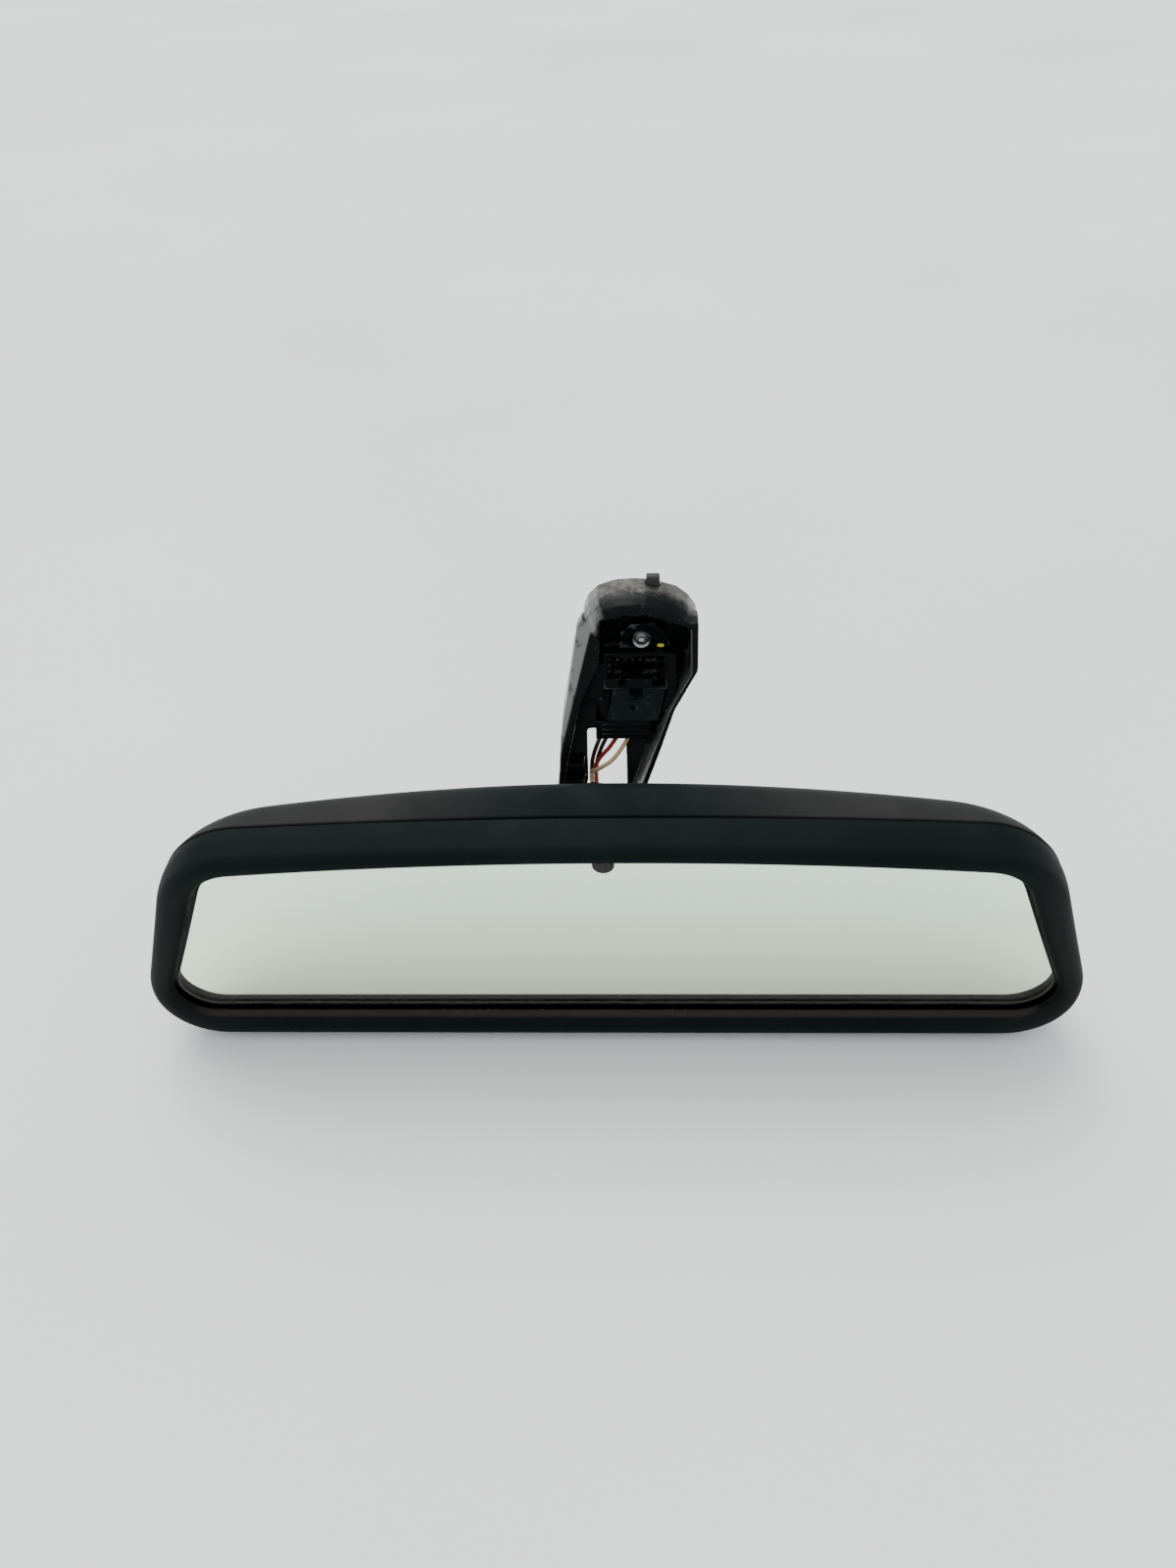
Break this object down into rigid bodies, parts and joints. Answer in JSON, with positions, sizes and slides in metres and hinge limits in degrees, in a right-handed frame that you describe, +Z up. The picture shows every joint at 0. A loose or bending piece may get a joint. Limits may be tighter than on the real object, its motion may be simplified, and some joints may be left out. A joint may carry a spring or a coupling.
{
  "type": "interior rearview mirror",
  "caption": "Self-dimming interior rearview mirror: a wide rounded glass head on a ball joint, carried by a cast arm whose round foot snaps onto a windscreen plate.",
  "frame": {"origin": "middle of the round socket in the foot, on the face that meets the windscreen plate", "axes": "+X along the mirror to the viewer's right, +Y forward out of the socket towards the windscreen, +Z up; the glass faces -Y"},
  "size_m": [0.2436, 0.0755, 0.1012],
  "materials": {
    "cast_arm": "black paint over die casting, worn to bare metal at the foot",
    "zinc_stud": "satin plated",
    "spring_steel": "bright",
    "rubber_peg": "matte",
    "yellow_paint": "dab of paint",
    "insert_plastic": "moulded",
    "lock_plastic": "moulded, slightly glossy",
    "contact_gold": "plated",
    "wire_red": "smooth insulation",
    "wire_cream": "smooth insulation",
    "wire_brown": "smooth insulation",
    "wire_black": "smooth insulation",
    "nylon_seat": "greased nylon",
    "bezel_plastic": "fine-grained moulding",
    "housing_plastic": "fine-grained moulding",
    "clear_glass": "polished",
    "gel_seal": "dark amber sealant",
    "mirror": "silvered, slightly green",
    "carrier_plastic": "moulded",
    "foam": "closed-cell foam",
    "board_green": "solder mask",
    "header_ivory": "moulded",
    "chip_black": "moulded",
    "can_metal": "satin",
    "sensor_tint": "smoke tinted",
    "led_white": "moulded",
    "led_lens": "smoke tinted"
  },
  "bodies": {
    "arm": {"arm_casting": "cast_arm", "ball_stud": "zinc_stud", "stud_retainer": "spring_steel", "mount_spring": "spring_steel", "spring_rivet": "zinc_stud", "locating_peg": "rubber_peg", "paint_dot": "yellow_paint", "connector_carrier": "insert_plastic", "connector_housing": "insert_plastic", "connector_pins": "contact_gold", "connector_lock": "lock_plastic", "cable_guide": "insert_plastic", "wire_red": "wire_red", "wire_cream": "wire_cream", "wire_brown": "wire_brown", "wire_black": "wire_black"},
    "rear_seat": {"seat_ring": "nylon_seat"},
    "front_seat": {"seat_cup": "nylon_seat"},
    "head": {"bezel": "bezel_plastic", "rear_housing": "housing_plastic", "front_glass": "clear_glass", "cell_seal": "gel_seal", "mirror_glass": "mirror", "bus_clips": "contact_gold", "foam_pad": "foam", "glass_carrier": "carrier_plastic", "circuit_board": "board_green", "board_header": "header_ivory", "board_chips": "chip_black", "board_capacitors": "can_metal", "board_screws": "spring_steel", "glare_sensor": "chip_black", "sensor_window": "sensor_tint", "ambient_sensor": "chip_black", "ambient_lens": "sensor_tint", "status_led": "led_white", "status_lens": "led_lens", "socket_base": "carrier_plastic", "socket_cap": "zinc_stud", "clamp_spring": "spring_steel", "spring_plate": "spring_steel", "socket_screws": "spring_steel", "head_wires": "wire_black"}
  },
  "joints": [
    {"name": "pan", "type": "hinge", "parent": "arm", "child": "rear_seat", "pos_m": [-0.0134, -0.052, -0.0415], "axis": [0, 0, 1], "range_deg": [-15, 15]},
    {"name": "tilt", "type": "hinge", "parent": "rear_seat", "child": "front_seat", "pos_m": [-0.0134, -0.052, -0.0415], "axis": [1, 0, 0], "range_deg": [-12, 12]},
    {"name": "roll", "type": "hinge", "parent": "front_seat", "child": "head", "pos_m": [-0.0134, -0.052, -0.0415], "axis": [0, 1, 0], "range_deg": [-10, 10]}
  ]
}
